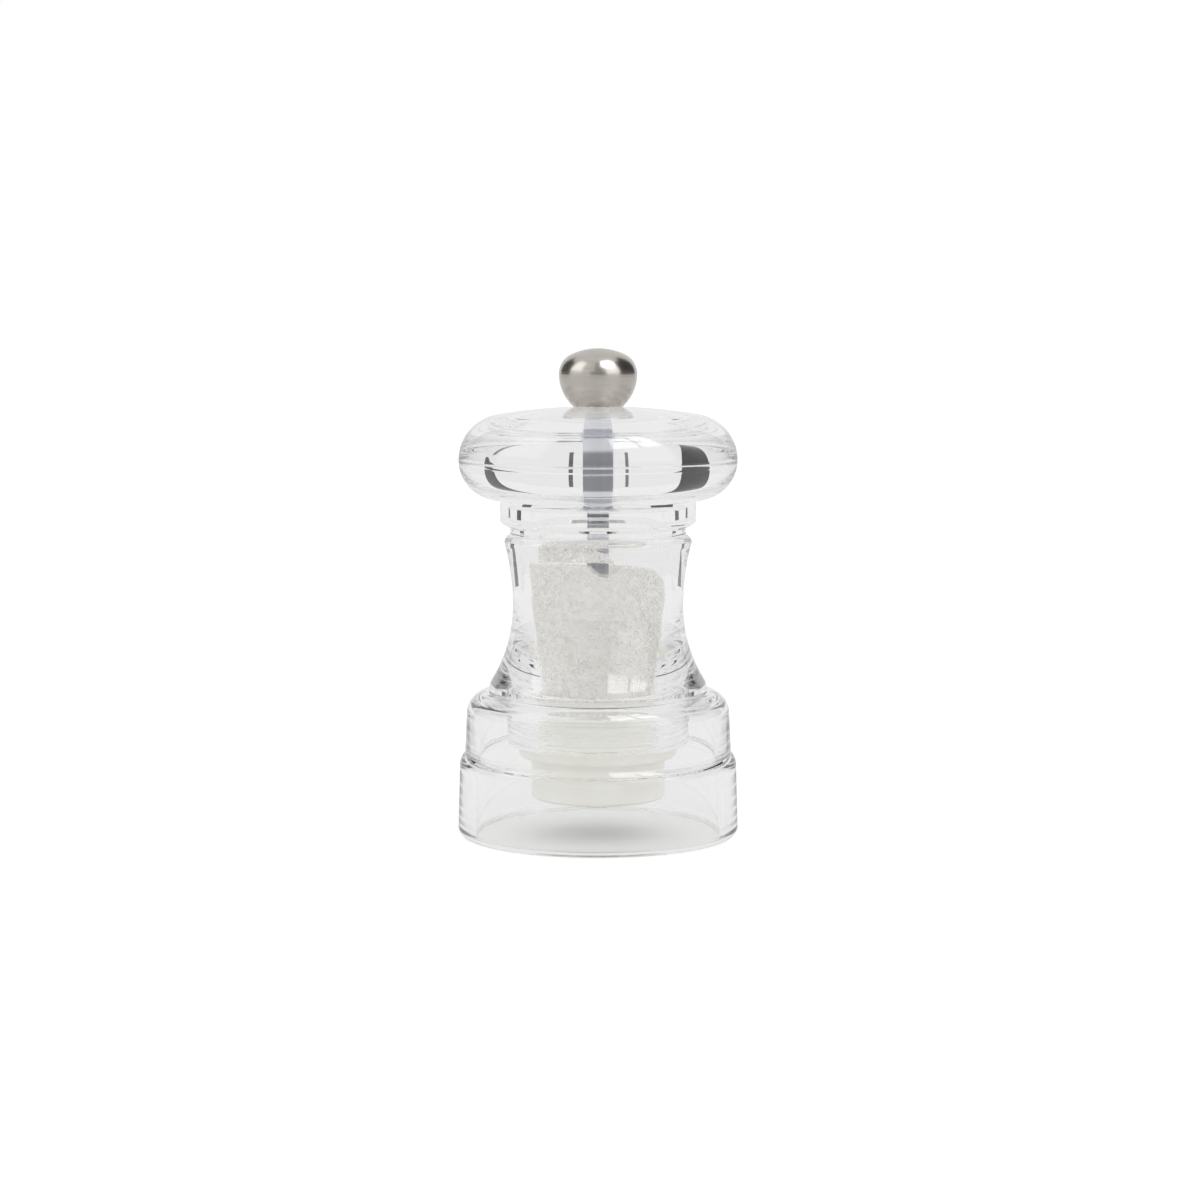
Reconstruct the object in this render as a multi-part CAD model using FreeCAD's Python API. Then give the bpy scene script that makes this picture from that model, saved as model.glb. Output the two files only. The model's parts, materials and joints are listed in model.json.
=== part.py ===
import FreeCAD, Part
import math
import os

# Clear acrylic table mill for salt, with a turned steel knob and a ceramic grinder.
# Sizes are millimetres. The table is z = 0, +Z runs up the spindle, and the axis is x = y = 0.

# Shared clearances
slip = 0.05                 # between pieces that are bonded, screwed or pushed together
running = 0.05              # radial, between a turning shaft and its hole
square_play = 0.1           # per side, between the square spindle and a square hole
turning_gap = 0.35          # between the turning head's spigot and the chamber wall

# Base skirt, a clear shell open below
base_height = 29.9
base_foot_radius = 28.9
base_step_radius = 28.5
base_waist_radius = 27.4
base_shoulder_radius = 27.0
base_shoulder_round = 4.5
base_step_top = 17.2
base_step_bottom = 14.4
base_foot_round = 1.8
base_plate = 2.9            # thickness of the top that carries the body
base_wall = 2.8
base_foot_wall = 3.6
base_inner_step = 15.0      # height where the inner wall steps out
base_inner_bevel = 1.4

# Clear body, an hourglass chamber with a neck that stands in the base
body_height = 32.2          # from the base's top to the head's joint
body_foot_radius = 22.5
body_foot_edge = 1.3
body_waist_radius = 17.5
body_waist_height = 17.6    # above the base's top
body_top_radius = 19.2
body_top_round = 1.6
mouth_radius = 14.75
chamber_foot_radius = 13.1
body_neck_radius = 18.7
body_neck_length = 11.2
body_ledge = 0.9            # depth of the chamber's floor ledge under the base's top
neck_bore_radius = 12.2
neck_groove_height = 4.2    # above the neck's end
neck_groove_depth = 0.5
neck_groove_width = 0.9

# Head, a solid clear disk on a hollow neck with a spigot
head_neck_radius = 20.05
head_neck_height = 7.1
head_cove_height = 2.7
head_neck_bevel = 0.7
head_joint_radius = 18.0
disk_radius = 28.5
disk_lower_round = 8.1
disk_upper_height = 10.9
disk_upper_round = 9.4
seat_radius = 5.6           # flat on the crown that carries the knob
spigot_length = 4.3
recess_radius = 12.4
recess_height = 5.9         # above the head's joint

# Knob
knob_height = 11.8
knob_radius = 8.0
knob_dome = 5.2
knob_edge_round = 4.4
knob_foot_radius = 5.1
knob_bore_depth = 9.4

# Spindle
spindle_square = 4.3
stud_radius = 2.0
stud_start = 1.6            # under the knob's seat
stud_reach = 8.2            # above the knob's seat
spindle_tail = 0.8          # below the clip
clip_groove_radius = 1.8

# Grinder housing, screwed up into the body's neck
flange_radius = 16.4
flange_thickness = 2.8
flange_round = 1.2
barrel_radius = 13.8
barrel_length = 4.9
throat_radius = 9.2

# Collar that holds the stator in the housing
collar_height = 3.2
collar_web = 1.2
collar_wall = 0.9
collar_opening_radius = 10.4
collar_bevel = 0.5

# Ceramic stator and rotor
tooth_count = 24
tooth_depth = 0.7
tooth_twist = 10.0          # degrees from the bottom of the teeth to their top
tooth_lean = 1.0 / 3.0      # share of a pitch from a tooth's tip to the root after it
stator_height = 6.2
stator_radius = 11.9
stator_tip_radius = 9.6     # tooth tips at the stator's bottom
grind_slope = 0.27          # radius lost for each millimetre of height
grind_gap = 0.45            # between the tooth tips at rest
rotor_drop = 0.6            # rotor's bottom under the stator's bottom
rotor_height = 6.4
fine_height = 3.1
flute_count = 7
flute_twist = 40.0
flute_depth = 2.4
rotor_top_tip = 6.3
rotor_top_root = 5.0

# Hub, washer and clip under the rotor
hub_across_flats = 7.4
hub_flange_radius = 6.2
hub_flange = 0.9
washer_radius = 4.6
washer_thickness = 0.5
clip_radius = 4.2
clip_thickness = 0.6
clip_rim = 1.2
clip_opening = 3.0
clip_lug_width = 1.5

# Bridge, guide bush and spring over the rotor
bridge_rise = 4.7           # above the neck's end
bridge_rim = 1.5
bridge_height = 2.9
bridge_arm_width = 2.4
bridge_arm_count = 3
bridge_rim_radius = 10.6
boss_radius = 5.7
boss_height = 3.4
guide_radius = 4.1
guide_flange_radius = 5.2
guide_flange = 0.8
guide_proud = 0.4
spring_wire = 0.7
spring_wire_sides = 8
spring_turns = 4.0
spring_radius = 3.6

# Salt, a lumpy solid that stands for the loose crystals
salt_gap = 0.15             # to the chamber's wall and the head's spigot
salt_spindle_gap = 0.35
salt_high = 1.0             # under the head's spigot, at the high side away from the wall
salt_slope = 4.6            # fall of the top from the high side to the low side
salt_slump = 7.0            # fall of the salt banked against the wall, at the low side
salt_slump_sharpness = 16   # holds the slump to that side
salt_bank = 2.4             # width of the salt banked against the wall
salt_lumps_round = 18
salt_lump_rows = 6
salt_hollow = 0.7           # deepest hollow between lumps
salt_hollow_depths = 11     # even steps from none to the deepest
salt_hollow_stride = 7      # steps from one lump to the next, with no factor shared with the depths
salt_hollow_climb = 5       # steps from one row to the next

# Heights that follow from the sizes above
z_joint = base_height + body_height
z_disk = z_joint + head_neck_height
z_wide = z_disk + disk_lower_round
z_crown = z_wide + disk_upper_height
z_knob_top = z_crown + knob_height
z_neck_end = base_height - body_neck_length
z_ledge = base_height - body_ledge
z_waist = base_height + body_waist_height
z_spigot = z_joint - spigot_length
z_roof = z_joint + recess_height
z_flange = z_neck_end - flange_thickness
z_seam = z_flange - barrel_length
z_collar = z_seam - collar_height
z_stator = z_collar + collar_web
z_stator_top = z_stator + stator_height
z_rotor = z_stator - rotor_drop
z_rotor_top = z_rotor + rotor_height
z_hub = z_rotor - hub_flange
z_washer = z_hub - washer_thickness
z_clip = z_washer - clip_thickness
z_tail = z_clip - spindle_tail
z_bridge = z_neck_end + bridge_rise

half_diagonal = spindle_square / math.sqrt(2.0)
square_hole = spindle_square + 2.0 * square_play


def at(r, z):
    """Return the point at radius r and height z in the profile plane."""
    return FreeCAD.Vector(r, 0.0, z)


def around(r, angle, z):
    """Return the point at radius r, an angle about the axis and height z."""
    return FreeCAD.Vector(r * math.cos(angle), r * math.sin(angle), z)


def line(start, end):
    """Return a straight profile edge between two (r, z) points."""
    return Part.LineSegment(at(*start), at(*end)).toShape()


def path(*points):
    """Return straight profile edges through (r, z) points."""
    return [line(a, b) for a, b in zip(points, points[1:])]


def arc(start, centre, end):
    """Return the shorter circular profile edge about a centre."""
    radius = math.dist(start, centre)
    middle = ((start[0] + end[0]) / 2.0, (start[1] + end[1]) / 2.0)
    reach = math.dist(middle, centre)
    through = [c + (m - c) * radius / reach for m, c in zip(middle, centre)]
    return Part.Arc(at(*start), at(*through), at(*end)).toShape()


def upright_arc(start, end):
    """Return the arc that leaves start vertically, or is reached so, and passes through end."""
    dr = end[0] - start[0]
    dz = end[1] - start[1]
    radius = (dr * dr + dz * dz) / (2.0 * dr)
    return arc(start, (start[0] + radius, start[1]), end)


def crowned(wide, top, edge_round, start_radius):
    """Return a wide crown arc and the edge arc it runs on into, down to the widest (r, z) point."""
    edge_centre = (wide[0] - edge_round, wide[1])
    height = top - wide[1]
    crown_radius = (edge_centre[0] ** 2 + height ** 2 - edge_round ** 2) / (2.0 * (height - edge_round))
    crown_centre = (0.0, top - crown_radius)
    across = edge_centre[0] / (crown_radius - edge_round)
    tangent = (across * crown_radius, crown_centre[1] + math.sqrt(1.0 - across ** 2) * crown_radius)
    start = (start_radius, crown_centre[1] + math.sqrt(crown_radius ** 2 - start_radius ** 2))
    return start, [arc(start, crown_centre, tangent), arc(tangent, edge_centre, wide)]


def revolve(edges):
    """Turn a closed profile about the axis into a solid."""
    wire = Part.Wire(Part.__sortEdges__(edges))
    return Part.Face(wire).revolve(FreeCAD.Vector(0, 0, 0), FreeCAD.Vector(0, 0, 1), 360)


def disc(radius, bottom, top):
    """Return an upright round bar."""
    return Part.makeCylinder(radius, top - bottom, FreeCAD.Vector(0, 0, bottom))


def ring(inner, outer, bottom, top):
    """Return an upright tube."""
    return disc(outer, bottom, top).cut(disc(inner, bottom, top))


def polygon_bar(corners, bottom, top):
    """Return an upright bar with straight sides from (x, y) corners."""
    points = [FreeCAD.Vector(x, y, bottom) for x, y in corners]
    face = Part.Face(Part.makePolygon(points + points[:1]))
    return face.extrude(FreeCAD.Vector(0, 0, top - bottom))


def square_bar(side, bottom, top):
    """Return an upright square bar on the axis."""
    half = side / 2.0
    return polygon_bar([(half, half), (-half, half), (-half, -half), (half, -half)], bottom, top)


def hexagon_bar(across_flats, bottom, top):
    """Return an upright hexagon bar on the axis."""
    reach = across_flats / math.sqrt(3.0)
    angles = [math.radians(60.0 * side) for side in range(6)]
    return polygon_bar([(reach * math.cos(a), reach * math.sin(a)) for a in angles], bottom, top)


def circle_edges(shape, radius, height):
    """Return the shape's round edges of one radius at one height."""
    found = []
    for edge in shape.Edges:
        round_edge = isinstance(edge.Curve, Part.Circle)
        if round_edge and math.dist((edge.Curve.Radius, edge.Curve.Center.z), (radius, height)) < 1e-4:
            found.append(edge)
    return found


def rounded(shape, size, *places):
    """Round the edges at the given (radius, height) places."""
    edges = [edge for radius, height in places for edge in circle_edges(shape, radius, height)]
    return shape.makeFillet(size, edges)


def tooth_wire(count, tip, root, height, turn):
    """Return a closed outline of leaning teeth."""
    pitch = 2.0 * math.pi / count
    points = []
    for tooth in range(count):
        for radius, share in ((tip, 0.0), (root, tooth_lean)):
            angle = pitch * (tooth + share) + math.radians(turn)
            points.append(around(radius, angle, height))
    return Part.makePolygon(points + points[:1])


def toothed_cone(count, bottom, top, twist):
    """Return a twisted toothed cone between two (tip, root, height) sections."""
    wires = [tooth_wire(count, *bottom, 0.0), tooth_wire(count, *top, twist)]
    return Part.makeLoft(wires, True, True)


def chamber_radius(height):
    """Return the chamber's radius at a height, which narrows evenly from the mouth to the ledge."""
    share = (z_joint - height) / (z_joint - z_ledge)
    return mouth_radius - share * (mouth_radius - chamber_foot_radius)


def stator_tip(height):
    """Return the radius of the stator's tooth tips at a height."""
    return stator_tip_radius - grind_slope * (height - z_stator)


def base_skirt():
    shoulder = (base_shoulder_radius, base_height - base_shoulder_round)
    shoulder_top = (base_shoulder_radius - base_shoulder_round, base_height)
    shoulder_centre = (shoulder_top[0], shoulder[1])
    step_top = (base_waist_radius, base_step_top)
    step_bottom = (base_step_radius, base_step_bottom)
    foot = (base_foot_radius, 0.0)
    hole = body_neck_radius + slip
    inner = base_waist_radius - base_wall
    inner_foot = base_foot_radius - base_foot_wall
    underside = base_height - base_plate
    edges = path((hole, base_height), shoulder_top)
    edges.append(arc(shoulder_top, shoulder_centre, shoulder))
    edges.append(line(shoulder, step_top))
    edges.append(upright_arc(step_bottom, step_top))
    edges += path(step_bottom, foot, (inner_foot, 0.0), (inner_foot, base_inner_step),
                  (inner, base_inner_step), (inner, underside - base_inner_bevel),
                  (inner - base_inner_bevel, underside), (hole, underside), (hole, base_height))
    return rounded(revolve(edges), base_foot_round, foot)


def clear_body():
    foot = (body_foot_radius, base_height)
    foot_edge = (body_foot_radius, base_height + body_foot_edge)
    waist = (body_waist_radius, z_waist)
    rim = (body_top_radius, z_joint - body_top_round)
    rim_centre = (body_top_radius - body_top_round, rim[1])
    rim_top = (rim_centre[0], z_joint)
    edges = path((body_neck_radius, base_height), foot, foot_edge)
    edges += [upright_arc(waist, foot_edge), upright_arc(waist, rim), arc(rim, rim_centre, rim_top)]
    edges += path(rim_top, (mouth_radius, z_joint), (chamber_foot_radius, z_ledge),
                  (neck_bore_radius, z_ledge), (neck_bore_radius, z_neck_end),
                  (body_neck_radius, z_neck_end), (body_neck_radius, base_height))
    groove_middle = z_neck_end + neck_groove_height
    groove = ring(body_neck_radius - neck_groove_depth, body_neck_radius + neck_groove_depth,
                  groove_middle - neck_groove_width / 2.0, groove_middle + neck_groove_width / 2.0)
    return revolve(edges).cut(groove)


def salt_bank_top(angle):
    """Return the height where the salt meets the wall, which has slumped on the +X side."""
    share = ((1.0 + math.cos(angle)) / 2.0) ** salt_slump_sharpness
    return z_spigot - salt_gap - salt_slump * share


def salt_middle_top(x):
    """Return the height of the salt's top away from the wall."""
    return z_spigot - salt_high - salt_slope * (x + mouth_radius) / (2.0 * mouth_radius)


def salt_side(lump, row):
    """Return a point on the salt's side, pressed in by a hollow whose depth is scattered."""
    angle = 2.0 * math.pi * lump / salt_lumps_round
    height = z_ledge + (salt_bank_top(angle) - z_ledge) * row / salt_lump_rows
    depth = (salt_hollow_stride * lump + salt_hollow_climb * row) % salt_hollow_depths
    hollow = salt_hollow * depth / (salt_hollow_depths - 1)
    return around(chamber_radius(height) - salt_gap - hollow, angle, height)


def salt_fill():
    lumps = range(salt_lumps_round)
    angles = [2.0 * math.pi * lump / salt_lumps_round for lump in lumps]
    hole = half_diagonal + salt_spindle_gap
    bank_foot = chamber_radius(z_spigot) - salt_bank
    loops = [[salt_side(lump, row) for lump in lumps] for row in range(salt_lump_rows + 1)]
    for radius in (bank_foot, (bank_foot + hole) / 2.0, hole):
        loops.append([around(radius, a, salt_middle_top(radius * math.cos(a))) for a in angles])
    loops.append([around(hole, a, z_ledge) for a in angles])
    faces = []
    for loop, following in zip(loops, loops[1:] + loops[:1]):
        for lump in lumps:
            corners = [loop[lump - 1], loop[lump], following[lump], following[lump - 1]]
            for triangle in (corners[:3], corners[2:] + corners[:1]):
                faces.append(Part.Face(Part.makePolygon(triangle + triangle[:1])))
    return Part.Solid(Part.makeShell(faces))


def head():
    wide = (disk_radius, z_wide)
    seat, edges = crowned(wide, z_crown, disk_upper_round, seat_radius)
    lower_centre = (disk_radius - disk_lower_round, z_wide)
    underside = (lower_centre[0], z_disk)
    z_cove = z_joint + head_cove_height
    spigot = chamber_radius(z_spigot) - turning_gap
    edges.append(arc(wide, lower_centre, underside))
    edges += path(underside, (head_neck_radius, z_disk), (head_neck_radius, z_cove),
                  (head_neck_radius - head_neck_bevel, z_cove - head_neck_bevel),
                  (head_joint_radius, z_joint + head_cove_height / 2.0), (head_joint_radius, z_joint),
                  (spigot, z_joint), (spigot, z_spigot), (0.0, z_spigot), (0.0, z_crown),
                  (seat_radius, z_crown), seat)
    solid = revolve(edges).cut(disc(recess_radius, z_spigot, z_roof))
    return solid.cut(square_bar(square_hole, z_roof, z_crown))


def knob():
    wide = (knob_radius, z_knob_top - knob_dome)
    foot = (knob_foot_radius, z_crown)
    top, edges = crowned(wide, z_knob_top, knob_edge_round, 0.0)
    edges.append(upright_arc(wide, foot))
    edges += path(foot, (0.0, z_crown), top)
    return revolve(edges).cut(disc(stud_radius + running, z_crown, z_crown + knob_bore_depth))


def spindle():
    rod = square_bar(spindle_square, z_tail, z_crown - stud_start)
    stud = disc(stud_radius, z_crown - stud_start, z_crown + stud_reach)
    groove = ring(clip_groove_radius, spindle_square, z_clip, z_washer)
    return rod.fuse(stud).cut(groove).removeSplitter()


def grinder_housing():
    spigot_radius = neck_bore_radius - slip
    lower_radius = barrel_radius - collar_wall - slip
    bridge_bore = bridge_rim_radius + slip
    stator_bore = stator_radius + slip
    edges = path((bridge_bore, z_ledge), (spigot_radius, z_ledge), (spigot_radius, z_neck_end),
                 (flange_radius, z_neck_end), (flange_radius, z_flange), (barrel_radius, z_flange),
                 (barrel_radius, z_seam), (lower_radius, z_seam), (lower_radius, z_stator),
                 (stator_bore, z_stator), (stator_bore, z_stator_top), (throat_radius, z_stator_top),
                 (throat_radius, z_bridge), (bridge_bore, z_bridge), (bridge_bore, z_ledge))
    return rounded(revolve(edges), flange_round, (flange_radius, z_flange))


def stator_collar():
    inner = barrel_radius - collar_wall
    return revolve(path((collar_opening_radius, z_collar), (barrel_radius - collar_bevel, z_collar),
                        (barrel_radius, z_collar + collar_bevel), (barrel_radius, z_seam),
                        (inner, z_seam), (inner, z_stator), (collar_opening_radius, z_stator),
                        (collar_opening_radius, z_collar)))


def ceramic_stator():
    sections = []
    for height in (z_stator - tooth_depth, z_stator_top + tooth_depth):
        tip = stator_tip(height)
        sections.append((tip, tip + tooth_depth, height))
    teeth = toothed_cone(tooth_count, sections[0], sections[1], tooth_twist)
    return disc(stator_radius, z_stator, z_stator_top).cut(teeth)


def ceramic_rotor():
    z_fine = z_rotor + fine_height
    sections = []
    for height in (z_rotor, z_fine):
        tip = stator_tip(height) - grind_gap
        sections.append((tip, tip - tooth_depth, height))
    fine = toothed_cone(tooth_count, sections[0], sections[1], tooth_twist)
    flute_tip = sections[1][1]
    coarse = toothed_cone(flute_count, (flute_tip, flute_tip - flute_depth, z_fine),
                          (rotor_top_tip, rotor_top_root, z_rotor_top), flute_twist)
    return fine.fuse(coarse).cut(hexagon_bar(hub_across_flats + 2.0 * slip, z_rotor, z_rotor_top))


def rotor_hub():
    hub = hexagon_bar(hub_across_flats, z_rotor, z_rotor_top)
    hub = hub.fuse(disc(hub_flange_radius, z_hub, z_rotor)).removeSplitter()
    return hub.cut(square_bar(spindle_square + 2.0 * slip, z_hub, z_rotor_top))


def rotor_washer():
    return ring(half_diagonal + slip, washer_radius, z_washer, z_hub)


def retaining_clip():
    clip = ring(clip_radius - clip_rim, clip_radius, z_clip, z_washer)
    lug_start = clip_groove_radius
    for angle in (90.0, 180.0, 270.0):
        lug = Part.makeBox(clip_radius - clip_rim / 2.0 - lug_start, clip_lug_width, clip_thickness,
                           FreeCAD.Vector(lug_start, -clip_lug_width / 2.0, z_clip))
        lug.rotate(FreeCAD.Vector(0, 0, 0), FreeCAD.Vector(0, 0, 1), angle)
        clip = clip.fuse(lug)
    opening = Part.makeBox(clip_radius, clip_opening, clip_thickness,
                           FreeCAD.Vector(0, -clip_opening / 2.0, z_clip))
    clip = clip.cut(opening)
    return clip.cut(disc(clip_groove_radius, z_clip, z_washer)).removeSplitter()


def spindle_bridge():
    z_top = z_bridge + bridge_height
    bridge = ring(bridge_rim_radius - bridge_rim, bridge_rim_radius, z_bridge, z_top)
    bridge = bridge.fuse(disc(boss_radius, z_bridge, z_bridge + boss_height))
    for arm in range(bridge_arm_count):
        bar = Part.makeBox(bridge_rim_radius - bridge_rim / 2.0, bridge_arm_width, bridge_height,
                           FreeCAD.Vector(0, -bridge_arm_width / 2.0, z_bridge))
        bar.rotate(FreeCAD.Vector(0, 0, 0), FreeCAD.Vector(0, 0, 1), 90.0 + 360.0 * arm / bridge_arm_count)
        bridge = bridge.fuse(bar)
    return bridge.removeSplitter().cut(disc(guide_radius + running, z_bridge, z_bridge + boss_height))


def spindle_guide():
    top = z_bridge + boss_height + guide_proud
    guide = disc(guide_radius, z_bridge, top)
    guide = guide.fuse(disc(guide_flange_radius, z_bridge - guide_flange, z_bridge)).removeSplitter()
    return guide.cut(square_bar(square_hole, z_bridge - guide_flange, top))


def spring():
    bottom = z_rotor_top
    length = z_bridge - guide_flange - bottom
    pitch = length / spring_turns
    # The coil runs a little past both ends and is then ground flat at its seats.
    start = bottom - spring_wire / 2.0
    helix = Part.makeHelix(pitch, length + spring_wire, spring_radius)
    helix.translate(FreeCAD.Vector(0, 0, start))
    corners = []
    for side in range(spring_wire_sides):
        angle = 2.0 * math.pi * side / spring_wire_sides
        corners.append(at(spring_radius + spring_wire / 2.0 * math.cos(angle),
                          start + spring_wire / 2.0 * math.sin(angle)))
    section = Part.makePolygon(corners + corners[:1])
    coil = Part.Wire(helix.Edges).makePipeShell([section], True, True)
    return coil.common(disc(spring_radius + spring_wire, bottom, bottom + length))


pieces = {
    "base_skirt": base_skirt,
    "clear_body": clear_body,
    "salt_fill": salt_fill,
    "grinder_housing": grinder_housing,
    "stator_collar": stator_collar,
    "ceramic_stator": ceramic_stator,
    "spindle_bridge": spindle_bridge,
    "spindle_guide": spindle_guide,
    "spring": spring,
    "spindle": spindle,
    "rotor_hub": rotor_hub,
    "ceramic_rotor": ceramic_rotor,
    "rotor_washer": rotor_washer,
    "retaining_clip": retaining_clip,
    "head": head,
    "knob": knob,
}

os.makedirs("parts", exist_ok=True)
for node, make in pieces.items():
    shape = make()
    shape.exportStep("parts/" + node + ".step")
    box = shape.BoundBox
    print("%-16s solids %d valid %s volume %.1f z %.2f to %.2f"
          % (node, len(shape.Solids), shape.isValid(), shape.Volume, box.ZMin, box.ZMax))
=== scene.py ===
import json
import math
import random

import bmesh
import bpy
from mathutils import Matrix, Vector


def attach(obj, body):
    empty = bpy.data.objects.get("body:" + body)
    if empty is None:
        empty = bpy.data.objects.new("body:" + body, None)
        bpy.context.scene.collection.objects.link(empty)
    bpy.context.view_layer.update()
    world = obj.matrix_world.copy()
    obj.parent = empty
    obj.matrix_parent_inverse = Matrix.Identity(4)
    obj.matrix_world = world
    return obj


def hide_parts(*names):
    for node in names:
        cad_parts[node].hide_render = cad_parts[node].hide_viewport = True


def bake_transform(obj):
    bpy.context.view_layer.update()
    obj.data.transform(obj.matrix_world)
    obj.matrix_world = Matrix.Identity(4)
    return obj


# Looks of a clear acrylic salt mill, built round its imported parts.
# The mill's sizes are millimetres until a mesh is made, and the studio's are metres.
# The axis of the mill is x = y = 0.

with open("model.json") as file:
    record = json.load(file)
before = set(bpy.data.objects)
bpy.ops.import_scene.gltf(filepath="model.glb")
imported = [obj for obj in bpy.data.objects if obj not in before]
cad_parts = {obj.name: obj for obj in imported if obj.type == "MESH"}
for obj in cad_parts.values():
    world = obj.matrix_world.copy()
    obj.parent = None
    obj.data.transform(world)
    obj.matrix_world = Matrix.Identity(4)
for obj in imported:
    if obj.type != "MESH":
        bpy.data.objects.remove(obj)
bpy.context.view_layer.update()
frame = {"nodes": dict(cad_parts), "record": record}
nodes = frame["nodes"]

MM = 0.001
SEGMENTS = 192              # round a turned piece; a multiple of 8 puts points on a square hole's corners

# Heights shared by the turned pieces
base_top = 29.9
neck_end = 18.7
ledge = 29.0
waist = 47.5
joint = 62.1
disk_bottom = 69.2
disk_wide = 77.3
crown = 88.2
spigot_end = 57.8
roof = 68.0

# Radii shared by the turned pieces
neck_radius = 18.7
neck_bore = 12.2
mouth_radius = 14.75
chamber_foot = 13.1
recess_radius = 12.4

# Square sizes, across the flats
spindle_side = 4.3
head_hole = 4.5

seat_gap = 0.04             # air between faces that touch, so that light sees both
fit_gap = 0.05              # air round a piece in its bore
edge = 0.35                 # rounding of a moulded edge
fine_edge = 0.15            # rounding of the edges on the head's neck and spigot
thread_pitch = 2.2
thread_depth = 0.35
thread_count = 4
thread_start = 19.6


# Outlines of turned pieces, as (radius, height) points

def arc(start, centre, end, steps=16):
    """Return points on the shorter circular arc about a centre, both ends included."""
    first = math.atan2(start[1] - centre[1], start[0] - centre[0])
    last = math.atan2(end[1] - centre[1], end[0] - centre[0])
    sweep = (last - first + math.pi) % (2.0 * math.pi) - math.pi
    radius = math.dist(start, centre)
    angles = [first + sweep * step / steps for step in range(steps + 1)]
    return [(centre[0] + radius * math.cos(a), centre[1] + radius * math.sin(a)) for a in angles]


def upright_arc(start, end, steps=24):
    """Return points on the arc that leaves start vertically and passes through end."""
    across = end[0] - start[0]
    rise = end[1] - start[1]
    radius = (across * across + rise * rise) / (2.0 * across)
    return arc(start, (start[0] + radius, start[1]), end, steps)


def crowned(wide, top, edge_round, start_radius):
    """Return points on a wide crown arc and the edge arc that it runs on into."""
    edge_centre = (wide[0] - edge_round, wide[1])
    height = top - wide[1]
    radius = (edge_centre[0] ** 2 + height ** 2 - edge_round ** 2) / (2.0 * (height - edge_round))
    centre = (0.0, top - radius)
    across = edge_centre[0] / (radius - edge_round)
    meeting = (across * radius, centre[1] + math.sqrt(1.0 - across ** 2) * radius)
    start = (start_radius, centre[1] + math.sqrt(radius ** 2 - start_radius ** 2))
    return arc(start, centre, meeting, 20)[:-1] + arc(meeting, edge_centre, wide, 24)


def rounded(before, corner, after, radius=edge, steps=4):
    """Return points that round one corner between its two neighbours."""
    to_before = (Vector(before) - Vector(corner)).normalized()
    to_after = (Vector(after) - Vector(corner)).normalized()
    half = to_before.angle(to_after) / 2.0
    reach = radius / math.tan(half)
    centre = Vector(corner) + (to_before + to_after).normalized() * (radius / math.sin(half))
    start = Vector(corner) + to_before * reach
    end = Vector(corner) + to_after * reach
    return arc(tuple(start), tuple(centre), tuple(end), steps)


def threaded(radius):
    """Return points up a wall with rounded thread ridges."""
    steps = 8
    points = []
    for step in range(thread_count * steps + 1):
        wave = (1.0 - math.cos(2.0 * math.pi * step / steps)) / 2.0
        points.append((radius + thread_depth * wave, thread_start + thread_pitch * step / steps))
    return points


# Meshes

def make_object(name, vertices, faces):
    """Make a closed mesh with its faces turned outward."""
    mesh = bpy.data.meshes.new(name)
    mesh.from_pydata([Vector(v) * MM for v in vertices], [], faces)
    shape = bmesh.new()
    shape.from_mesh(mesh)
    bmesh.ops.recalc_face_normals(shape, faces=shape.faces)
    shape.to_mesh(mesh)
    shape.free()
    mesh.shade_smooth()
    piece = bpy.data.objects.new(name, mesh)
    bpy.context.scene.collection.objects.link(piece)
    return piece


def turned(name, outline, square_hole=None):
    """Turn a closed outline about the axis. Points of radius None lie on a square hole."""
    vertices = []
    for radius, height in outline:
        for segment in range(SEGMENTS):
            angle = 2.0 * math.pi * segment / SEGMENTS
            across = math.cos(angle)
            along = math.sin(angle)
            reach = radius
            if radius is None:
                reach = square_hole / 2.0 / max(abs(across), abs(along))
            vertices.append((reach * across, reach * along, height))
    faces = []
    rings = len(outline)
    for ring in range(rings):
        lower = ring * SEGMENTS
        upper = (ring + 1) % rings * SEGMENTS
        for segment in range(SEGMENTS):
            beside = (segment + 1) % SEGMENTS
            faces.append((lower + segment, lower + beside, upper + beside, upper + segment))
    piece = make_object(name, vertices, faces)
    piece.modifiers.new("even normals", "WEIGHTED_NORMAL")
    return piece


def base_outline():
    """Return the outline of the stepped base, from its shoulder round to the hole for the neck."""
    foot = (28.9, 0.0)
    step_low = (28.5, 14.4)
    step_high = (27.4, 17.2)
    shoulder = (27.0, 25.4)
    shoulder_top = (22.5, base_top)
    inner_foot = 25.3
    inner = 24.6
    inner_step = 15.0
    underside = 27.0
    foot_round = 1.8
    underside_round = 1.6
    hole = neck_radius + fit_gap
    outline = arc(shoulder_top, (shoulder_top[0], shoulder[1]), shoulder)
    outline += upright_arc(step_low, step_high, 10)[::-1]
    outline += rounded(step_low, foot, (inner_foot, 0.0), foot_round, 10)
    outline += rounded(foot, (inner_foot, 0.0), (inner_foot, inner_step))
    outline += rounded((inner_foot, 0.0), (inner_foot, inner_step), (inner, inner_step))
    outline += rounded((inner_foot, inner_step), (inner, inner_step), (inner, underside))
    outline += rounded((inner, inner_step), (inner, underside), (hole, underside), underside_round, 8)
    return outline + [(hole, underside), (hole, base_top)]


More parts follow.
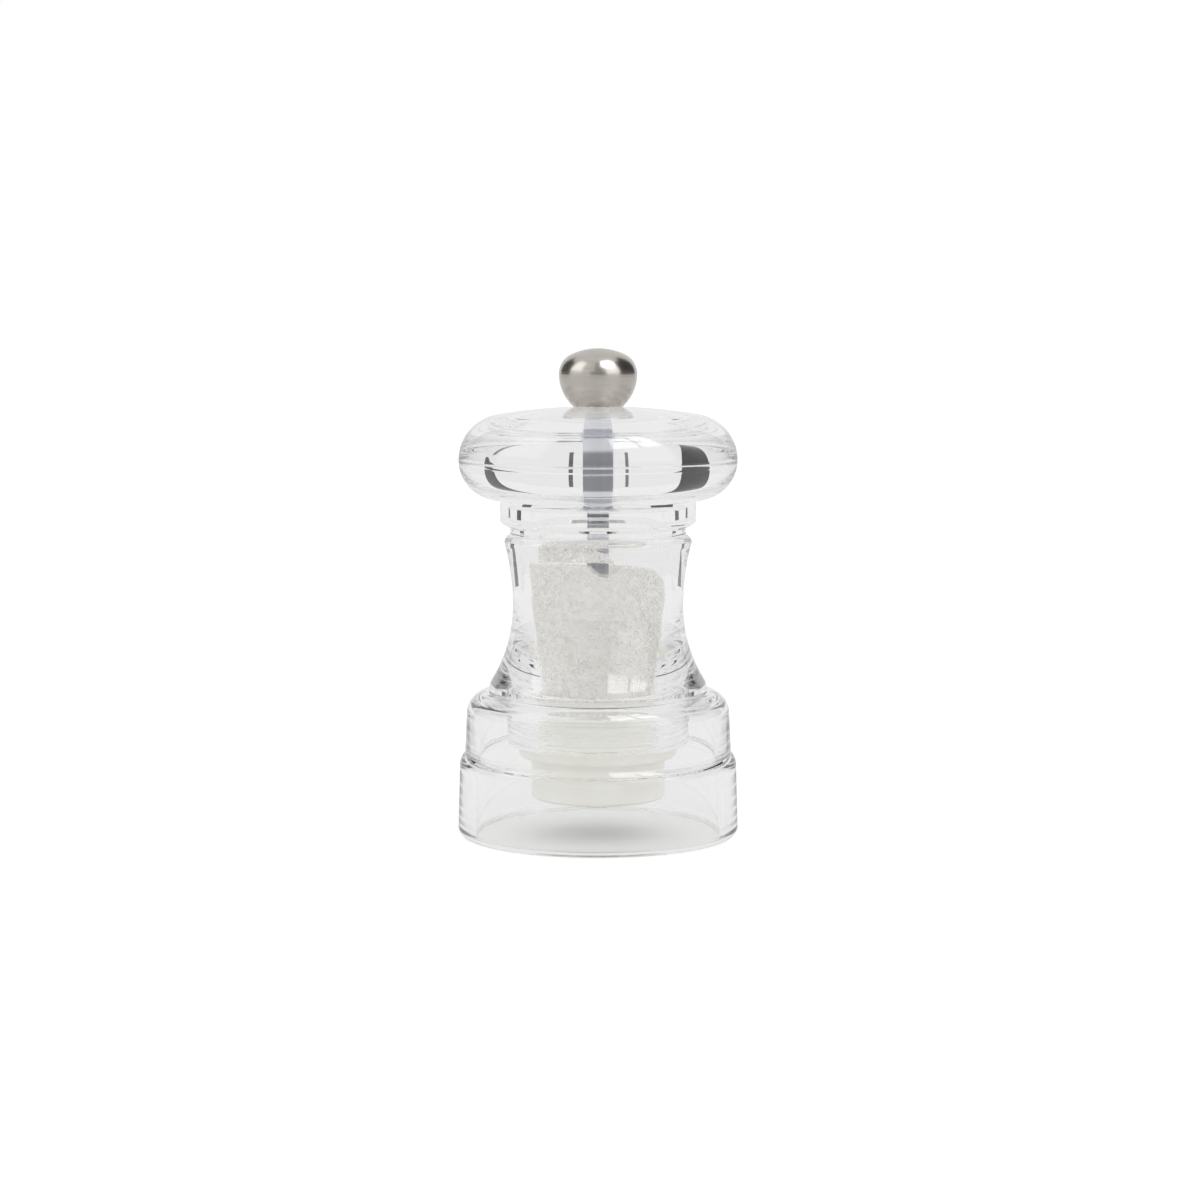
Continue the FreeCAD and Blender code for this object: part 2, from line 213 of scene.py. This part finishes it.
def body_outline():
    """Return the outline of the hourglass chamber and its neck, from its foot over the mouth and back."""
    bottom = neck_end + seat_gap
    foot = base_top + seat_gap
    top = joint - seat_gap
    foot_corner = (22.5, foot)
    foot_edge = (22.5, 31.2)
    middle = (17.5, waist)
    rim = (19.2, 60.5)
    rim_top = (17.6, top)
    groove_height = 22.9
    groove = 0.45               # radius of the groove round the neck
    groove_floor = (neck_radius - groove, groove_height)
    groove_centre = (neck_radius, groove_height)
    outline = rounded((neck_radius, foot), foot_corner, foot_edge)
    outline += upright_arc(middle, foot_edge)[-2:0:-1]
    outline += upright_arc(middle, rim)
    outline += arc(rim, (rim_top[0], rim[1]), rim_top, 8)[1:]
    outline += rounded(rim_top, (mouth_radius, top), (chamber_foot, ledge))
    outline += rounded((mouth_radius, top), (chamber_foot, ledge), (neck_bore, ledge))
    outline += [(neck_bore, ledge)]
    outline += threaded(neck_bore)[::-1]
    outline += rounded((neck_bore, ledge), (neck_bore, bottom), (neck_radius, bottom))
    outline += rounded((neck_bore, bottom), (neck_radius, bottom), (neck_radius, foot))
    outline += arc((neck_radius, groove_height - groove), groove_centre, groove_floor, 5)
    outline += arc(groove_floor, groove_centre, (neck_radius, groove_height + groove), 5)[1:]
    return outline + [(neck_radius, foot)]


def thread_outline():
    """Return the ridges of the housing's thread, rooted in its spigot."""
    spigot = neck_bore - fit_gap
    root = spigot - thread_depth
    ridges = threaded(spigot)
    return ridges + [(root, ridges[-1][1]), (root, ridges[0][1])]


def head_outline():
    """Return the outline of the disk, its neck and its spigot, from the knob's seat round to the hole."""
    bottom = joint + seat_gap
    neck = 20.05
    neck_low = 64.8
    slope = (19.35, 64.1)       # on the way from the neck in to the cove
    cove = 18.0
    cove_top = 63.45
    spigot = 14.18
    seat = 5.6
    stud_well = 4.0
    hole_edge = 3.4
    disk_round = 9.4
    roof_round = 0.8
    parting = 0.045             # depth and half width of the parting seam
    wide = (28.5, disk_wide)
    under = (20.4, disk_bottom)
    corners = [under, (neck, disk_bottom), (neck, neck_low), slope, (cove, cove_top), (cove, bottom),
               (spigot, bottom), (spigot, spigot_end), (recess_radius, spigot_end)]
    outline = crowned(wide, crown, disk_round, seat)[:-1]
    outline += [(wide[0], disk_wide + parting), (wide[0] - parting, disk_wide)]
    outline += [(wide[0], disk_wide - parting)]
    outline += arc(wide, (under[0], disk_wide), under, 24)[1:]
    for before, corner, after in zip(corners, corners[1:], corners[2:]):
        outline += rounded(before, corner, after, fine_edge, 3)
    outline += rounded((spigot, spigot_end), (recess_radius, spigot_end), (recess_radius, roof))
    outline += rounded((recess_radius, spigot_end), (recess_radius, roof), (hole_edge, roof), roof_round, 6)
    return outline + [(hole_edge, roof), (None, roof), (None, crown), (stud_well, crown)]


# Shader helpers

ramp_start = 0.3            # the part of a noise's range over which its colour changes
ramp_end = 0.7


def new_material(name):
    """Return a new material with its node tree and its main shader."""
    material = bpy.data.materials.new(name)
    material.use_nodes = True
    tree = material.node_tree
    shader = tree.nodes["Principled BSDF"]
    return material, tree, shader


def add_node(tree, kind, **inputs):
    """Add a node and set its inputs by name."""
    node = tree.nodes.new(kind)
    for key, value in inputs.items():
        node.inputs[key.replace("_", " ")].default_value = value
    return node


def noise_node(tree, scale, detail=3.0, stretch=None):
    """Add noise that is fixed to the piece, stretched along an axis if asked."""
    coordinates = tree.nodes.new("ShaderNodeTexCoord")
    texture = add_node(tree, "ShaderNodeTexNoise", Scale=scale, Detail=detail)
    source = coordinates.outputs["Object"]
    if stretch:
        mapping = tree.nodes.new("ShaderNodeMapping")
        mapping.inputs["Scale"].default_value = stretch
        tree.links.new(source, mapping.inputs["Vector"])
        source = mapping.outputs["Vector"]
    tree.links.new(source, texture.inputs["Vector"])
    return texture


def blended(tree, factor, first, second, socket):
    """Mix two colours by a factor into a shader's colour socket."""
    ramp = tree.nodes.new("ShaderNodeValToRGB")
    ramp.color_ramp.elements[0].position = ramp_start
    ramp.color_ramp.elements[1].position = ramp_end
    ramp.color_ramp.elements[0].color = (*first, 1.0)
    ramp.color_ramp.elements[1].color = (*second, 1.0)
    tree.links.new(factor, ramp.inputs["Fac"])
    tree.links.new(ramp.outputs["Color"], socket)


def ranged(tree, factor, low, high, socket):
    """Map a factor from 0 to 1 onto a range of a shader's number."""
    mapped = add_node(tree, "ShaderNodeMapRange")
    mapped.inputs["To Min"].default_value = low
    mapped.inputs["To Max"].default_value = high
    tree.links.new(factor, mapped.inputs["Value"])
    tree.links.new(mapped.outputs["Result"], socket)


def bumped(tree, shader, height, strength, distance):
    """Raise a shader's surface by a height."""
    bump = tree.nodes.new("ShaderNodeBump")
    bump.inputs["Strength"].default_value = strength
    bump.inputs["Distance"].default_value = distance
    tree.links.new(height, bump.inputs["Height"])
    tree.links.new(bump.outputs["Normal"], shader.inputs["Normal"])


def feed(tree, socket, value):
    """Set a socket to a number, or link it to another node's result."""
    if isinstance(value, (int, float)):
        socket.default_value = value
    else:
        tree.links.new(value, socket)


def math_node(tree, operation, *values):
    """Add one sum on sockets or numbers and return its result."""
    node = tree.nodes.new("ShaderNodeMath")
    node.operation = operation
    for socket, value in zip(node.inputs, values):
        feed(tree, socket, value)
    return node.outputs["Value"]


def mixed(tree, factor, first, second):
    """Mix two numbers and return the result."""
    node = tree.nodes.new("ShaderNodeMix")
    feed(tree, node.inputs["Factor"], factor)
    feed(tree, node.inputs["A"], first)
    feed(tree, node.inputs["B"], second)
    return node.outputs["Result"]


def soft_step(tree, value, start, end):
    """Return 0 at start and 1 at end, with an even turn between them."""
    node = tree.nodes.new("ShaderNodeMapRange")
    node.interpolation_type = "SMOOTHSTEP"
    node.inputs["From Min"].default_value = start
    node.inputs["From Max"].default_value = end
    tree.links.new(value, node.inputs["Value"])
    return node.outputs["Result"]


# Materials, one function for each

def clear_acrylic():
    material, tree, shader = new_material("clear_acrylic")
    shader.inputs["Transmission Weight"].default_value = 1.0
    shader.inputs["IOR"].default_value = 1.49
    cloud = noise_node(tree, 60.0, 2.0)
    blended(tree, cloud.outputs["Fac"], (0.99, 0.995, 0.993), (1.0, 1.0, 1.0), shader.inputs["Base Color"])
    ranged(tree, cloud.outputs["Fac"], 0.0, 0.01, shader.inputs["Roughness"])
    flow = noise_node(tree, 90.0, 1.0)
    bumped(tree, shader, flow.outputs["Fac"], 0.06, 0.0002)
    return material


def salt():
    material, tree, shader = new_material("salt")
    shader.inputs["IOR"].default_value = 1.54
    grain = noise_node(tree, 900.0, 4.0)
    blended(tree, grain.outputs["Fac"], (0.8, 0.785, 0.76), (0.87, 0.855, 0.835), shader.inputs["Base Color"])
    ranged(tree, grain.outputs["Fac"], 0.25, 0.6, shader.inputs["Roughness"])
    fine = noise_node(tree, 2600.0, 3.0)
    bumped(tree, shader, fine.outputs["Fac"], 0.15, 0.0002)
    return material


def white_plastic():
    material, tree, shader = new_material("white_plastic")
    cloud = noise_node(tree, 140.0)
    blended(tree, cloud.outputs["Fac"], (0.82, 0.81, 0.755), (0.86, 0.85, 0.80), shader.inputs["Base Color"])
    ranged(tree, cloud.outputs["Fac"], 0.3, 0.42, shader.inputs["Roughness"])
    shader.inputs["Subsurface Weight"].default_value = 0.15
    shader.inputs["Subsurface Radius"].default_value = (1.0, 0.9, 0.75)
    shader.inputs["Subsurface Scale"].default_value = 0.001
    fine = noise_node(tree, 3000.0, 2.0)
    bumped(tree, shader, fine.outputs["Fac"], 0.08, 0.0001)
    return material


def white_ceramic():
    material, tree, shader = new_material("white_ceramic")
    grit = noise_node(tree, 1800.0, 5.0)
    blended(tree, grit.outputs["Fac"], (0.78, 0.775, 0.75), (0.85, 0.85, 0.83), shader.inputs["Base Color"])
    ranged(tree, grit.outputs["Fac"], 0.45, 0.65, shader.inputs["Roughness"])
    bumped(tree, shader, grit.outputs["Fac"], 0.2, 0.0001)
    return material


def metal(name, dark, light, rough, stretch, scale, bump):
    """Return a drawn or brushed metal, with its grain stretched one way."""
    material, tree, shader = new_material(name)
    shader.inputs["Metallic"].default_value = 1.0
    streak = noise_node(tree, scale, 4.0, stretch)
    blended(tree, streak.outputs["Fac"], dark, light, shader.inputs["Base Color"])
    ranged(tree, streak.outputs["Fac"], rough[0], rough[1], shader.inputs["Roughness"])
    bumped(tree, shader, streak.outputs["Fac"], bump, 0.00005)
    return material, tree, shader


def spring_steel():
    return metal("spring_steel", dark=(0.42, 0.42, 0.43), light=(0.6, 0.6, 0.61), rough=(0.2, 0.35),
                 stretch=(1, 1, 1), scale=900.0, bump=0.1)[0]


def spindle_aluminium():
    return metal("spindle_aluminium", dark=(0.66, 0.67, 0.71), light=(0.8, 0.81, 0.85), rough=(0.03, 0.07),
                 stretch=(1, 1, 0.05), scale=1500.0, bump=0.06)[0]


def knob_steel():
    material, tree, shader = metal("knob_steel", dark=(0.49, 0.46, 0.42), light=(0.57, 0.54, 0.5),
                                   rough=(0.2, 0.28), stretch=(0.03, 0.03, 1.0), scale=9000.0, bump=0.15)
    shader.inputs["Anisotropic"].default_value = 0.6
    shader.inputs["Anisotropic Rotation"].default_value = 0.25
    tangent = tree.nodes.new("ShaderNodeTangent")
    tangent.direction_type = "RADIAL"
    tangent.axis = "Z"
    tree.links.new(tangent.outputs["Tangent"], shader.inputs["Tangent"])
    return material


# Salt, the solid's own lumps with loose crystals in their skin

salt_play = 0.12            # between the crystals and the chamber's wall
salt_skin = 0.25            # depth of the heap's face under the solid's, where the crystals lie
salt_weld = 0.01            # points of the solid's mesh that are nearer than this become one
salt_cuts = 4               # of each edge of the solid's mesh
salt_smoothing = 3          # passes over the lumps
crystal_seed = 7
crystal_count = 11000
crystal_sizes = (0.22, 0.5)
crystal_sides = (0.7, 1.0)  # the two shorter sides, as shares of the size
crystal_sink = (0.3, 0.6)   # depth of a crystal's middle under the solid's face, as a share of the size
crystal_reach = 0.87        # half of a cube's diagonal, as a share of its side
crystal_overhang = -0.5     # faces that look further down than this carry no crystals
channel_middle = 1.4        # x of the channel in front of the spindle, where the salt has sunk
channel_floor = 54.4
channel_half = 1.7
channel_steepness = 4.0
cling_seed = 11
cling_angles = (178.0, 284.0)   # round the inside of the head's spigot, in degrees
cling_depth = 0.3
cling_fall = 6.0            # how late the clinging salt drops towards its end on the right
cling_count = 1000
housing_bore = 10.5         # inside it the salt runs down to the bridge over the grinder
bridge_top = 27.3


def chamber_radius(height):
    """Return the chamber's radius at a height, which narrows evenly from the mouth to the ledge."""
    share = min(1.0, (joint - height) / (joint - ledge))
    return mouth_radius - share * (mouth_radius - chamber_foot)


def salt_limit(place):
    """Return how high the salt can reach, which has sunk in a channel in front of the spindle."""
    if place.y > 0.0:
        return spigot_end
    aside = max(0.0, abs(place.x - channel_middle) - channel_half)
    return channel_floor + channel_steepness * aside


def salt_surface():
    """Return the salt's solid as a fine mesh in millimetres, with its lumps rounded."""
    node = nodes["salt_fill"]
    surface = bmesh.new()
    surface.from_mesh(node.data)
    bmesh.ops.transform(surface, matrix=Matrix.Scale(1.0 / MM, 4) @ node.matrix_world, verts=surface.verts)
    bmesh.ops.remove_doubles(surface, verts=surface.verts, dist=salt_weld)
    bmesh.ops.subdivide_edges(surface, edges=surface.edges, cuts=salt_cuts, use_grid_fill=True)
    bmesh.ops.triangulate(surface, faces=surface.faces)
    lumps = [vertex for vertex in surface.verts if vertex.co.z > ledge + salt_weld]
    foot = [vertex for vertex in surface.verts if vertex.co.z <= ledge + salt_weld]
    for _ in range(salt_smoothing):
        bmesh.ops.smooth_vert(surface, verts=lumps, factor=0.5,
                              use_axis_x=True, use_axis_y=True, use_axis_z=True)
    for vertex in lumps:
        vertex.co.z = min(vertex.co.z, salt_limit(vertex.co))
    for vertex in foot:
        if vertex.co.xy.length < housing_bore:
            vertex.co.z = bridge_top
    surface.normal_update()
    surface.verts.index_update()
    return surface


def salt_heap(surface):
    """Build the core of the heap, whose face lies just under the crystals."""
    vertices = []
    for vertex in surface.verts:
        depth = salt_skin if vertex.co.z > ledge + salt_skin else 0.0
        vertices.append(vertex.co - vertex.normal * depth)
    faces = [[corner.index for corner in face.verts] for face in surface.faces]
    return make_object("salt_heap", vertices, faces)


def crystal(centre, size, turn):
    """Return the corners and faces of one cubic crystal."""
    sides = Vector((size, size * turn.uniform(*crystal_sides), size * turn.uniform(*crystal_sides)))
    half = sides / 2.0
    axis = Vector((turn.uniform(-1, 1), turn.uniform(-1, 1), turn.uniform(-1, 1)))
    spin = Matrix.Rotation(turn.uniform(0.0, math.pi), 3, axis)
    corners = []
    for x in (-1, 1):
        for y in (-1, 1):
            for z in (-1, 1):
                corners.append(centre + spin @ Vector((x * half.x, y * half.y, z * half.z)))
    faces = [(0, 1, 3, 2), (4, 6, 7, 5), (0, 4, 5, 1), (2, 3, 7, 6), (0, 2, 6, 4), (1, 5, 7, 3)]
    return corners, faces


def crystal_place(face, size, turn):
    """Return a place for a crystal just inside a face, clear of the chamber's wall and the spigot."""
    shares = sorted((turn.random(), turn.random()))
    weights = (shares[0], shares[1] - shares[0], 1.0 - shares[1])
    place = Vector((0.0, 0.0, 0.0))
    for corner, weight in zip(face.verts, weights):
        place += corner.co * weight
    place -= face.normal * size * turn.uniform(*crystal_sink)
    room = size * crystal_reach + salt_play
    inward = min(1.0, (chamber_radius(place.z) - room) / place.xy.length)
    return Vector((place.x * inward, place.y * inward, min(place.z, spigot_end - room)))


def crystal_piece(name, places, turn):
    """Make one piece of crystals from their (centre, size) places."""
    vertices = []
    faces = []
    for centre, size in places:
        corners, sides = crystal(centre, size, turn)
        first = len(vertices)
        vertices += corners
        faces += [tuple(first + corner for corner in side) for side in sides]
    piece = make_object(name, vertices, faces)
    piece.data.shade_flat()
    return piece


def salt_crystals(surface):
    """Scatter crystals on the heap's top and side, and none at the spindle or under the heap."""
    turn = random.Random(crystal_seed)
    shown = [face for face in surface.faces
             if face.normal.z > crystal_overhang and face.calc_center_median().xy.length > spindle_side]
    areas = [face.calc_area() for face in shown]
    places = []
    for face in turn.choices(shown, areas, k=crystal_count):
        size = turn.uniform(*crystal_sizes)
        places.append((crystal_place(face, size, turn), size))
    return crystal_piece("salt_crystals", places, turn)


def salt_clinging():
    """Stick crystals to the inside of the head's spigot, where the mill was filled to the brim."""
    turn = random.Random(cling_seed)
    places = []
    for _ in range(cling_count):
        size = turn.uniform(*crystal_sizes)
        share = turn.random()
        angle = math.radians(cling_angles[0] + share * (cling_angles[1] - cling_angles[0]))
        radius = recess_radius - size * crystal_reach - turn.uniform(0.0, cling_depth)
        top = joint - share ** cling_fall * (joint - spigot_end)
        height = turn.uniform(spigot_end, top)
        places.append((Vector((radius * math.cos(angle), radius * math.sin(angle), height)), size))
    return crystal_piece("salt_clinging", places, turn)


# Put the pieces together

def flexing_spring():
    """Copy the spring as a piece of its own, and hide the imported spring."""
    piece = bpy.data.objects.new("coil_spring", nodes["spring"].data.copy())
    bpy.context.scene.collection.objects.link(piece)
    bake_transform(piece)
    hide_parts("spring")


def dress():
    """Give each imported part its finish, and add the pieces that replace it or ride with it."""
    for plain in list(bpy.data.materials):
        bpy.data.materials.remove(plain)
    finishes = {make.__name__: make() for make in (clear_acrylic, salt, white_plastic, white_ceramic,
                                                   spring_steel, spindle_aluminium, knob_steel)}
    for row in frame["record"]["subparts"]:
        mesh = nodes[row["node"]].data
        mesh.materials.clear()
        mesh.materials.append(finishes[row["material_slot"]])

    def place(piece, body, node, slot):
        piece.data.materials.append(finishes[slot])
        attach(piece, body)
        if node:
            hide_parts(node)

    place(turned("clear_base", base_outline()), "body", "base_skirt", "clear_acrylic")
    place(turned("clear_chamber", body_outline()), "body", "clear_body", "clear_acrylic")
    place(turned("clear_head", head_outline(), head_hole), "head", "head", "clear_acrylic")
    surface = salt_surface()
    place(salt_heap(surface), "body", "salt_fill", "salt")
    place(salt_crystals(surface), "body", "salt_fill", "salt")
    surface.free()
    place(salt_clinging(), "head", None, "salt")
    place(turned("housing_thread", thread_outline()), "body", None, "white_plastic")
    flexing_spring()


# Floor, light and camera

floor_half = 6.0
floor_height = -0.0001      # just under the foot, so that the two faces don't share a place
floor_paper = 0.8
camera_glow = 0.3           # makes the floor white in the picture, with no more light on the mill
acrylic_glow = 0.03
metal_glow = 0.02


def make_floor():
    """Lay a sheet of white paper under the mill."""
    signs = ((-1, -1), (1, -1), (1, 1), (-1, 1))
    corners = [(x * floor_half, y * floor_half, floor_height) for x, y in signs]
    mesh = bpy.data.meshes.new("floor")
    mesh.from_pydata(corners, [], [(0, 1, 2, 3)])
    floor = bpy.data.objects.new("floor", mesh)
    bpy.context.scene.collection.objects.link(floor)
    material = bpy.data.materials.new("floor")
    material.use_nodes = True
    tree = material.node_tree
    tree.nodes.clear()
    paper = add_node(tree, "ShaderNodeBsdfDiffuse", Color=(floor_paper, floor_paper, floor_paper, 1.0))
    glow = add_node(tree, "ShaderNodeEmission")
    seen = tree.nodes.new("ShaderNodeLightPath")
    to_camera = math_node(tree, "MULTIPLY", seen.outputs["Is Camera Ray"], camera_glow)
    to_acrylic = math_node(tree, "MULTIPLY", seen.outputs["Is Transmission Ray"], acrylic_glow)
    to_metal = math_node(tree, "MULTIPLY", seen.outputs["Is Glossy Ray"], metal_glow)
    both = math_node(tree, "ADD", to_acrylic, to_metal)
    tree.links.new(math_node(tree, "ADD", to_camera, both), glow.inputs["Strength"])
    white = tree.nodes.new("ShaderNodeAddShader")
    tree.links.new(paper.outputs["BSDF"], white.inputs[0])
    tree.links.new(glow.outputs["Emission"], white.inputs[1])
    output = tree.nodes.new("ShaderNodeOutputMaterial")
    tree.links.new(white.outputs["Shader"], output.inputs["Surface"])
    mesh.materials.append(material)


# The studio's panels, each as (azimuth, half width) and (lowest, highest) in degrees, and a level.
# Azimuth 0 is behind the mill and 180 is at the camera.
reflected_wall = 0.85
reflected_panels = {
    "dark room on the right": ((76.0, 34.0), (-8.0, 54.0), 0.06),
    "dark room on the left": ((-64.0, 24.0), (-6.0, 44.0), 0.1),
    "dark room at the camera": ((179.0, 24.0), (-10.0, 13.0), 0.2),
    "grey ceiling at the camera": ((176.0, 14.0), (13.0, 70.0), 0.4),
    "soft box on the right": ((134.0, 20.0), (7.0, 42.0), 1.8),
    "window on the right": ((140.0, 26.0), (41.0, 68.0), 6.0),
    "bar of the window": ((137.0, 2.0), (38.0, 70.0), 0.6),
    "soft box on the left": ((-110.0, 20.0), (14.0, 58.0), 1.8),
}
reflected_softness = 6.0
seen_wall = 0.8
seen_panels = {
    "dark room at the camera": ((180.0, 24.0), (0.3, 5.0), 0.3),
}
seen_softness = 1.0

# Dark cards that stand round the mill and show only through acrylic.
# Each has its azimuths at the bottom and at the top in degrees, its lowest and highest point and its level.
card_distance = 0.15
card_crossings = 2          # a card shows only in light that crossed no more surfaces than this
dark_cards = {
    "dark_card_left": ((-31.0, -15.0), (-30.0, -22.0), (0.044, 0.13), 0.05),
    "dark_card_right": ((13.0, 29.5), (31.0, 32.5), (0.044, 0.095), 0.09),
    "grey_card_right": ((27.0, 29.0), (19.0, 24.0), (0.096, 0.125), 0.25),
    "thin_card_right": ((4.4, 5.2), (4.4, 5.2), (0.0805, 0.09), 0.12),
    "thin_card_left": ((-5.5, -4.9), (-5.5, -4.9), (0.0805, 0.09), 0.2),
}

# Dark strips in front of the mill that show in the spindle, in the same form
strip_distance = 0.25
strip_crossings = 24
dark_strips = {
    "dark_strip_high": ((170.0, 190.0), (170.0, 190.0), (0.0482, 0.0528), 0.04),
    "dark_strip_low": ((170.0, 190.0), (170.0, 190.0), (0.042, 0.0468), 0.04),
}


def studio_level(tree, wall, panels, softness):
    """Return how bright the studio is in each direction."""
    direction = tree.nodes.new("ShaderNodeTexCoord").outputs["Generated"]
    parts = tree.nodes.new("ShaderNodeSeparateXYZ")
    tree.links.new(direction, parts.inputs["Vector"])
    to_degrees = 180.0 / math.pi
    turn = math_node(tree, "ARCTAN2", parts.outputs["X"], parts.outputs["Y"])
    azimuth = math_node(tree, "MULTIPLY", turn, to_degrees)
    elevation = math_node(tree, "MULTIPLY", math_node(tree, "ARCSINE", parts.outputs["Z"]), to_degrees)
    level = wall
    for (middle, half), (lowest, highest), panel_level in panels.values():
        soft = min(softness, half)
        off_middle = math_node(tree, "WRAP", math_node(tree, "SUBTRACT", azimuth, middle), 180.0, -180.0)
        aside = math_node(tree, "ABSOLUTE", off_middle)
        across = soft_step(tree, aside, half + soft / 2.0, half - soft / 2.0)
        above = soft_step(tree, elevation, lowest - soft / 2.0, lowest + soft / 2.0)
        below = soft_step(tree, elevation, highest + soft / 2.0, highest - soft / 2.0)
        mask = math_node(tree, "MULTIPLY", across, math_node(tree, "MULTIPLY", above, below))
        level = mixed(tree, mask, level, panel_level)
    return level


def make_world():
    """Light the scene from an even white studio. Metal and acrylic see its panels."""
    world = bpy.data.worlds.new("studio")
    bpy.context.scene.world = world
    world.use_nodes = True
    tree = world.node_tree
    background = tree.nodes["Background"]
    background.inputs["Color"].default_value = (1.0, 1.0, 1.0, 1.0)
    light_path = tree.nodes.new("ShaderNodeLightPath").outputs
    first = math_node(tree, "SUBTRACT", 1.0, math_node(tree, "MINIMUM", light_path["Diffuse Depth"], 1.0))
    reflected = math_node(tree, "MULTIPLY", light_path["Is Glossy Ray"], first)
    through = math_node(tree, "MULTIPLY", light_path["Is Transmission Ray"], first)
    in_metal = studio_level(tree, reflected_wall, reflected_panels, reflected_softness)
    in_acrylic = studio_level(tree, seen_wall, seen_panels, seen_softness)
    level = mixed(tree, through, mixed(tree, reflected, 1.0, in_metal), in_acrylic)
    tree.links.new(level, background.inputs["Strength"])


def around(distance, azimuth, height):
    """Return a point at a distance from the axis, with azimuth 0 behind the mill."""
    turn = math.radians(azimuth)
    return (distance * math.sin(turn), distance * math.cos(turn), height)


def make_card(name, distance, bottom, top, heights, level, crossings):
    """Stand a dark card that shows only to rays that crossed no more than this many surfaces."""
    lowest, highest = heights
    mesh = bpy.data.meshes.new(name)
    corners = [around(distance, bottom[0], lowest), around(distance, bottom[1], lowest),
               around(distance, top[1], highest), around(distance, top[0], highest)]
    mesh.from_pydata(corners, [], [(0, 1, 2, 3)])
    card = bpy.data.objects.new(name, mesh)
    bpy.context.scene.collection.objects.link(card)
    card.visible_camera = False
    card.visible_diffuse = False
    card.visible_glossy = False
    card.visible_shadow = False
    material, tree, shader = new_material(name)
    shader.inputs["Base Color"].default_value = (level, level, level, 1.0)
    shader.inputs["Roughness"].default_value = 1.0
    shader.inputs["Specular IOR Level"].default_value = 0.0
    crossed = tree.nodes.new("ShaderNodeLightPath").outputs["Transmission Depth"]
    unseen = math_node(tree, "GREATER_THAN", crossed, crossings + 0.5)
    clear = tree.nodes.new("ShaderNodeBsdfTransparent")
    shown = tree.nodes.new("ShaderNodeMixShader")
    tree.links.new(unseen, shown.inputs["Fac"])
    tree.links.new(shader.outputs["BSDF"], shown.inputs[1])
    tree.links.new(clear.outputs["BSDF"], shown.inputs[2])
    tree.links.new(shown.outputs["Shader"], tree.nodes["Material Output"].inputs["Surface"])
    mesh.materials.append(material)


def make_cards():
    """Stand all the dark cards and strips."""
    for name, (bottom, top, heights, level) in dark_cards.items():
        make_card(name, card_distance, bottom, top, heights, level, card_crossings)
    for name, (bottom, top, heights, level) in dark_strips.items():
        make_card(name, strip_distance, bottom, top, heights, level, strip_crossings)


camera_place = (0.0004, -0.586, 0.1068)
camera_pitch = 5.68         # degrees below level
camera_sensor = 36.0        # millimetres, like the lens
camera_lens = 86.07
camera_nearest = 0.01


def make_camera():
    """Look at the mill as the photograph does."""
    data = bpy.data.cameras.new("camera")
    data.sensor_width = camera_sensor
    data.lens = camera_lens
    data.clip_start = camera_nearest
    camera = bpy.data.objects.new("camera", data)
    camera.location = camera_place
    camera.rotation_euler = (math.radians(90.0 - camera_pitch), 0.0, 0.0)
    bpy.context.scene.collection.objects.link(camera)
    bpy.context.scene.camera = camera


def set_up_view():
    """Let light cross the many walls of acrylic."""
    scene = bpy.context.scene
    scene.view_settings.view_transform = "Standard"
    scene.cycles.max_bounces = 64
    scene.cycles.transmission_bounces = 32
    # Total reflection in acrylic counts as glossy. Fewer of these bounces darken its edges.
    scene.cycles.glossy_bounces = 18
    scene.cycles.diffuse_bounces = 8
    scene.cycles.blur_glossy = 0.0


dress()
make_floor()
make_cards()
make_world()
make_camera()
set_up_view()
